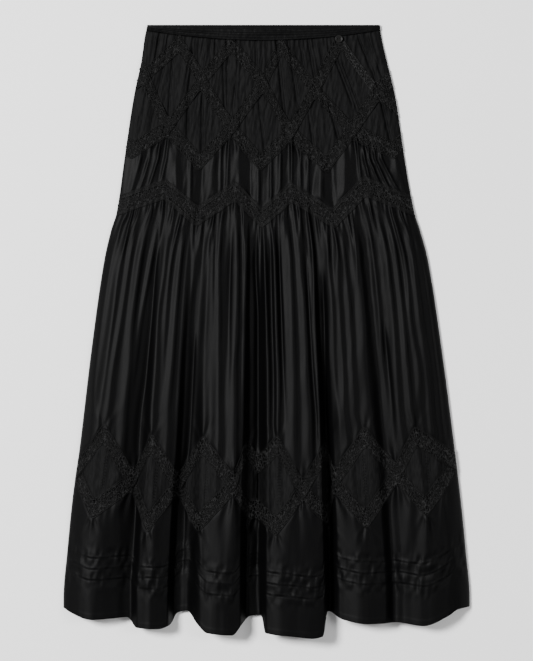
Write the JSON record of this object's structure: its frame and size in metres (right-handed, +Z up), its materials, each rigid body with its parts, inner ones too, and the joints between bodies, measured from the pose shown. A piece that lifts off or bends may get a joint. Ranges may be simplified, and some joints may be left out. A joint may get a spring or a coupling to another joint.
{
  "type": "long tiered lace skirt, laid flat",
  "caption": "Long tiered skirt laid flat on its back: elastic waist, gathered yoke under a lace lattice, zigzag lace at the hip, a row of lace diamonds and a fluted tucked hem.",
  "frame": {"origin": "middle of the laid garment, on the surface that it lies on", "axes": "+Z up out of the surface, +Y towards the waist, +X to the right as the front is seen"},
  "size_m": [0.609, 0.9164, 0.0446],
  "materials": {
    "satin": "satin",
    "voile": "matte crinkled",
    "lace": "matte",
    "button": "semi-gloss"
  },
  "bodies": {
    "root": {"button": "button", "diamond_band_back": "satin", "diamond_inset_1": "voile", "diamond_inset_2": "voile", "diamond_inset_3": "voile", "diamond_inset_4": "voile", "diamond_inset_5": "voile", "diamond_inset_6": "voile", "diamond_inset_7": "voile", "diamond_inset_8": "voile", "diamond_lace_lower": "lace", "diamond_lace_upper": "lace", "hem_tier_back": "satin", "hem_tier_front": "satin", "hip_lace_back": "lace", "hip_lace_front": "lace", "hip_panel_back": "satin", "hip_panel_front": "satin", "tier_back": "satin", "tier_front": "satin", "waistband_back": "satin", "waistband_front": "satin", "yoke_back": "voile", "yoke_front": "voile", "yoke_lace_bottom": "lace", "yoke_lace_middle": "lace", "yoke_lace_top": "lace"}
  },
  "joints": []
}
